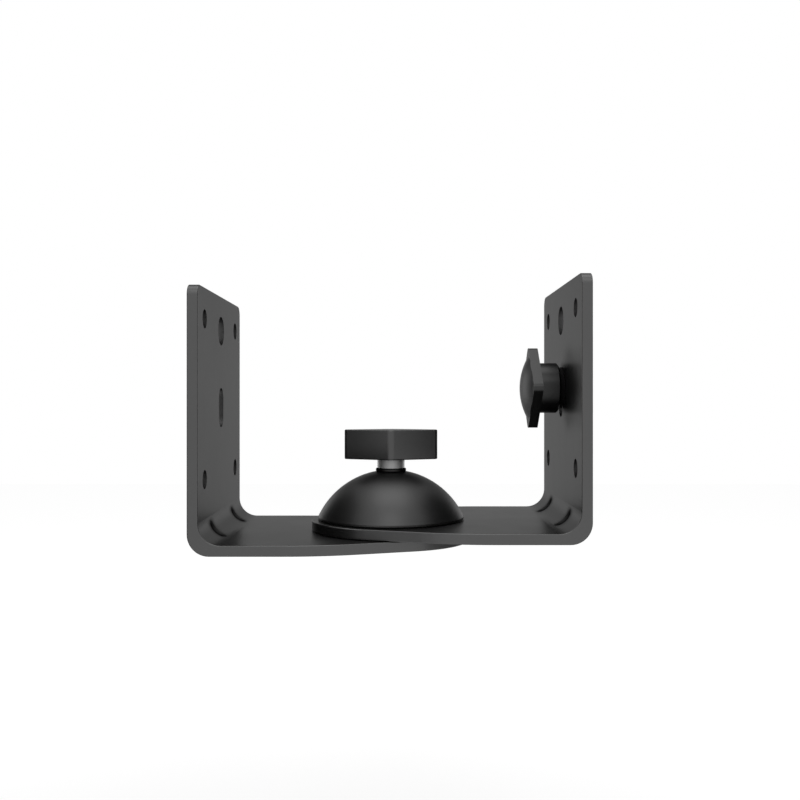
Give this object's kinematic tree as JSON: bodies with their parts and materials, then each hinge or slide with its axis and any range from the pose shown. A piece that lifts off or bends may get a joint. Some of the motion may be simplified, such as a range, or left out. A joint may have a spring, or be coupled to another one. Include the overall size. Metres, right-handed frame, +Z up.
{
  "type": "speaker wall bracket",
  "caption": "Swivelling wall bracket for a small loudspeaker: bent steel wall arm and speaker arm on a vertical pivot, clamped by a domed cap and a lozenge knob.",
  "frame": {"origin": "centre of the four wall screw holes, on the wall face of the wall plate", "axes": "+X out of the wall towards the speaker, +Y to the left seen from the speaker, +Z up along the pivot"},
  "size_m": [0.192, 0.104, 0.1325],
  "materials": {
    "arm_paint": "satin black powder coat",
    "bolt_steel": "bright zinc plate",
    "friction_nylon": "smooth black nylon",
    "gasket_rubber": "matt",
    "dome_plastic": "satin moulded",
    "collar_plastic": "satin moulded",
    "knob_plastic": "fine moulded grain"
  },
  "bodies": {
    "wall_arm": {"wall_bracket": "arm_paint", "pivot_bolt": "bolt_steel", "friction_disc": "friction_nylon"},
    "speaker_arm": {"speaker_bracket": "arm_paint", "pivot_bush": "friction_nylon", "dome_gasket": "gasket_rubber", "clamp_dome": "dome_plastic"},
    "thrust_collar": {"dome_collar": "collar_plastic"},
    "clamp_grip": {"clamp_knob": "knob_plastic", "knob_insert": "bolt_steel"},
    "slot_washer": {"speaker_washer": "friction_nylon"},
    "speaker_grip": {"speaker_knob": "knob_plastic", "speaker_screw": "bolt_steel"}
  },
  "joints": [
    {"name": "swivel", "type": "hinge", "parent": "wall_arm", "child": "speaker_arm", "pos_m": [0.0915, 0, -0.0655], "axis": [0, 0, 1], "range_deg": [-110, 110]},
    {"name": "clamp_lift", "type": "slide", "parent": "wall_arm", "child": "thrust_collar", "axis": [0, 0, 1], "range_m": [0, 0.0046]},
    {"name": "clamp_turn", "type": "hinge", "parent": "thrust_collar", "child": "clamp_grip", "pos_m": [0.0915, 0, -0.023], "axis": [0, 0, 1], "range_deg": [0, 1080]},
    {"name": "slot_slide", "type": "slide", "parent": "speaker_arm", "child": "slot_washer", "axis": [0, 0, 1], "range_m": [-0.0094, 0]},
    {"name": "speaker_turn", "type": "hinge", "parent": "slot_washer", "child": "speaker_grip", "pos_m": [0.17, 0, 0.00575], "axis": [1, 0, 0], "continuous": true}
  ],
  "couplings": [
    {"joint": "clamp_lift", "follows": "clamp_turn", "m_per_rad": 0.00023873}
  ]
}
